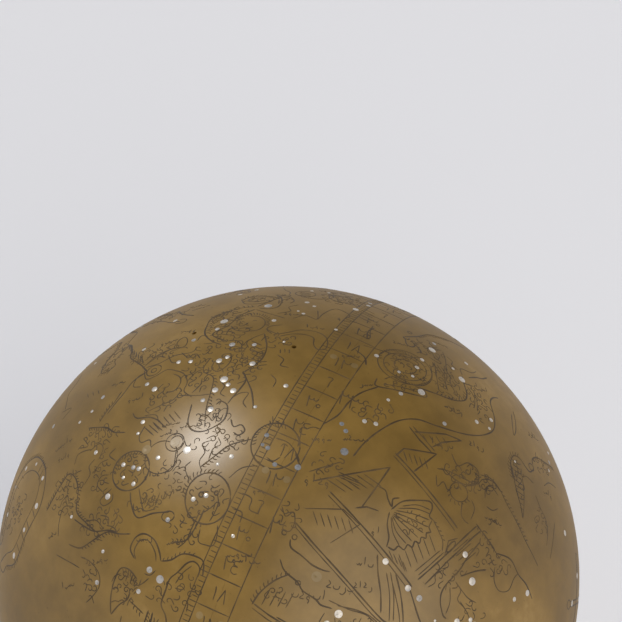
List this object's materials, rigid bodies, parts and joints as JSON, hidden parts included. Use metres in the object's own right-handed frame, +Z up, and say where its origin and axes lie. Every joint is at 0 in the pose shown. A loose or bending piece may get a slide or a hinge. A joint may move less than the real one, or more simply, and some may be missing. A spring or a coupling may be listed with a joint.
{
  "type": "celestial globe",
  "caption": "Hollow engraved celestial globe: two brass half shells with silver star studs, turning on a through axle with a pivot at each pole.",
  "frame": {"origin": "centre of the globe", "axes": "+X along the axle to the south celestial pole, +Z up as the globe lies with its axle level"},
  "size_m": [0.1908, 0.165, 0.1651],
  "materials": {
    "engraved_brass": "old hand-worn brass, engraved lines filled dark",
    "silver": "silver studs, some tarnished grey",
    "axle_steel": "filed steel, browned",
    "turned_brass": "turned brass, dull",
    "fill_brass": "hammered and filed brass"
  },
  "bodies": {
    "axle": {"axle_rod": "axle_steel", "north_collar": "turned_brass", "south_collar": "turned_brass", "north_taper_pin": "axle_steel", "south_taper_pin": "axle_steel"},
    "globe": {"north_bush": "turned_brass", "north_fifth_magnitude_studs": "silver", "north_first_magnitude_studs": "silver", "north_fourth_magnitude_studs": "silver", "north_seam_rivets": "fill_brass", "north_second_magnitude_studs": "silver", "north_shell": "engraved_brass", "north_third_magnitude_studs": "silver", "north_vent_plugs": "fill_brass", "seam_ring": "fill_brass", "south_bush": "turned_brass", "south_fifth_magnitude_studs": "silver", "south_first_magnitude_studs": "silver", "south_fourth_magnitude_studs": "silver", "south_seam_rivets": "fill_brass", "south_second_magnitude_studs": "silver", "south_shell": "engraved_brass", "south_third_magnitude_studs": "silver", "south_vent_plugs": "fill_brass"}
  },
  "joints": [
    {"name": "globe_spin", "type": "hinge", "parent": "axle", "child": "globe", "pos_m": [0, 0, 0], "axis": [1, 0, 0], "continuous": true}
  ]
}
